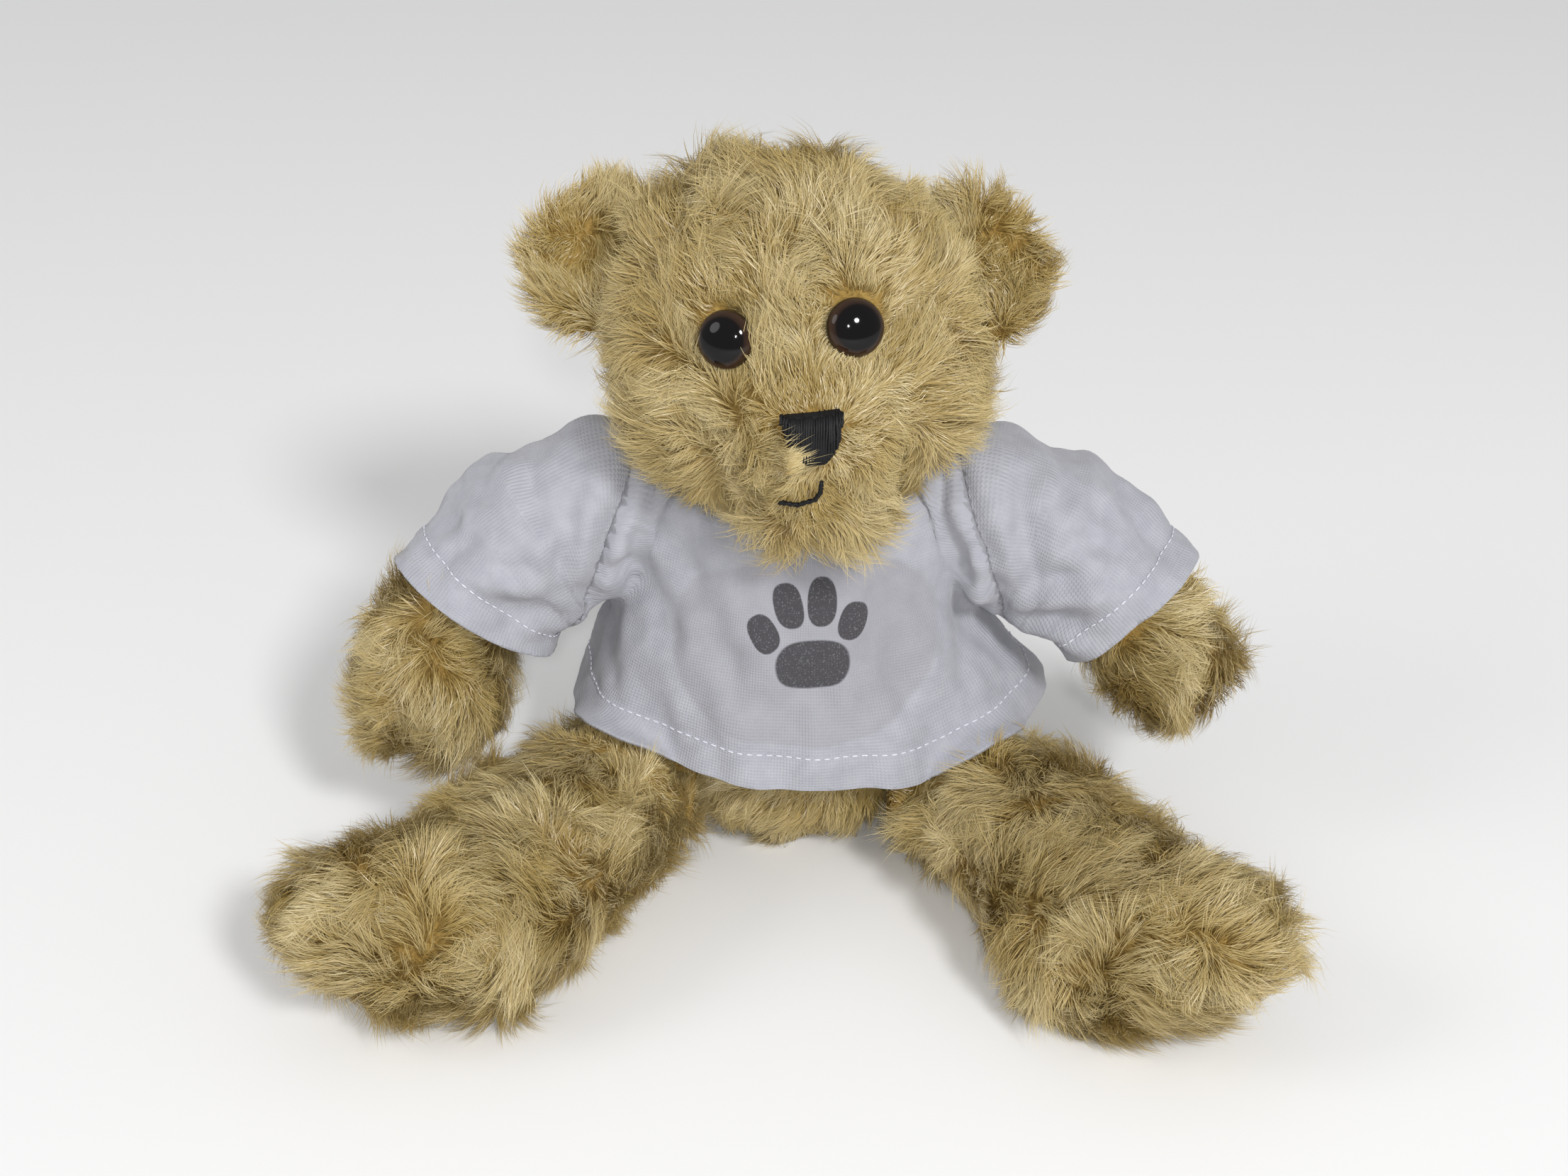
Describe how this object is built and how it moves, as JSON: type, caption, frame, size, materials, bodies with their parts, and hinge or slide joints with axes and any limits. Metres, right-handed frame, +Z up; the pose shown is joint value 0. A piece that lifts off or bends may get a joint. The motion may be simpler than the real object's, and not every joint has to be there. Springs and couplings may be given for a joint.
{
  "type": "jointed teddy bear",
  "caption": "Seated plush teddy bear in a short-sleeved jersey shirt, with disc joints at the neck, shoulders and hips.",
  "frame": {"origin": "middle of the flat seat under the torso, on the floor", "axes": "+X to the bear's left, -Y the way it faces, +Z up"},
  "size_m": [0.2147, 0.1381, 0.1634],
  "materials": {
    "plush": "long swirled golden pile, slightly glossy",
    "stuffing": "polyester fibre filling",
    "joint_plastic": "moulded white plastic",
    "eye_plastic": "polished, black pupil in a dark brown ring",
    "thread": "satin-stitched embroidery thread",
    "jersey": "fine single jersey knit"
  },
  "bodies": {
    "torso": {"torso_skin": "plush", "torso_stuffing": "stuffing", "neck_washer": "joint_plastic", "neck_lock_ring": "joint_plastic", "shoulder_left_washer": "joint_plastic", "shoulder_left_lock_ring": "joint_plastic", "shoulder_right_washer": "joint_plastic", "shoulder_right_lock_ring": "joint_plastic", "hip_left_washer": "joint_plastic", "hip_left_lock_ring": "joint_plastic", "hip_right_washer": "joint_plastic", "hip_right_lock_ring": "joint_plastic", "shirt_body": "jersey", "shirt_neckband": "jersey"},
    "head": {"head_skin": "plush", "head_stuffing": "stuffing", "neck_stud": "joint_plastic", "ear_left": "plush", "ear_right": "plush", "eye_left": "eye_plastic", "eye_right": "eye_plastic", "eye_washer_left": "joint_plastic", "eye_washer_right": "joint_plastic", "nose": "thread", "mouth": "thread"},
    "arm_left": {"arm_left_skin": "plush", "arm_left_stuffing": "stuffing", "shoulder_left_stud": "joint_plastic", "shirt_sleeve_left": "jersey"},
    "arm_right": {"arm_right_skin": "plush", "arm_right_stuffing": "stuffing", "shoulder_right_stud": "joint_plastic", "shirt_sleeve_right": "jersey"},
    "leg_left": {"leg_left_skin": "plush", "leg_left_stuffing": "stuffing", "hip_left_stud": "joint_plastic"},
    "leg_right": {"leg_right_skin": "plush", "leg_right_stuffing": "stuffing", "hip_right_stud": "joint_plastic"}
  },
  "joints": [
    {"name": "neck_turn", "type": "hinge", "parent": "torso", "child": "head", "pos_m": [0, 0, 0.088], "axis": [0, 0, 1], "range_deg": [-30, 30]},
    {"name": "shoulder_left_swing", "type": "hinge", "parent": "torso", "child": "arm_left", "pos_m": [0.027, 0.004, 0.078], "axis": [-1, 0, 0], "range_deg": [-25, 80]},
    {"name": "shoulder_right_swing", "type": "hinge", "parent": "torso", "child": "arm_right", "pos_m": [-0.027, 0.004, 0.078], "axis": [-1, 0, 0], "range_deg": [-25, 80]},
    {"name": "hip_left_swing", "type": "hinge", "parent": "torso", "child": "leg_left", "pos_m": [0.021, -0.013, 0.019], "axis": [0.9659, 0.2588, 0], "range_deg": [0, 85]},
    {"name": "hip_right_swing", "type": "hinge", "parent": "torso", "child": "leg_right", "pos_m": [-0.021, -0.013, 0.019], "axis": [0.9659, -0.2588, 0], "range_deg": [0, 85]}
  ]
}
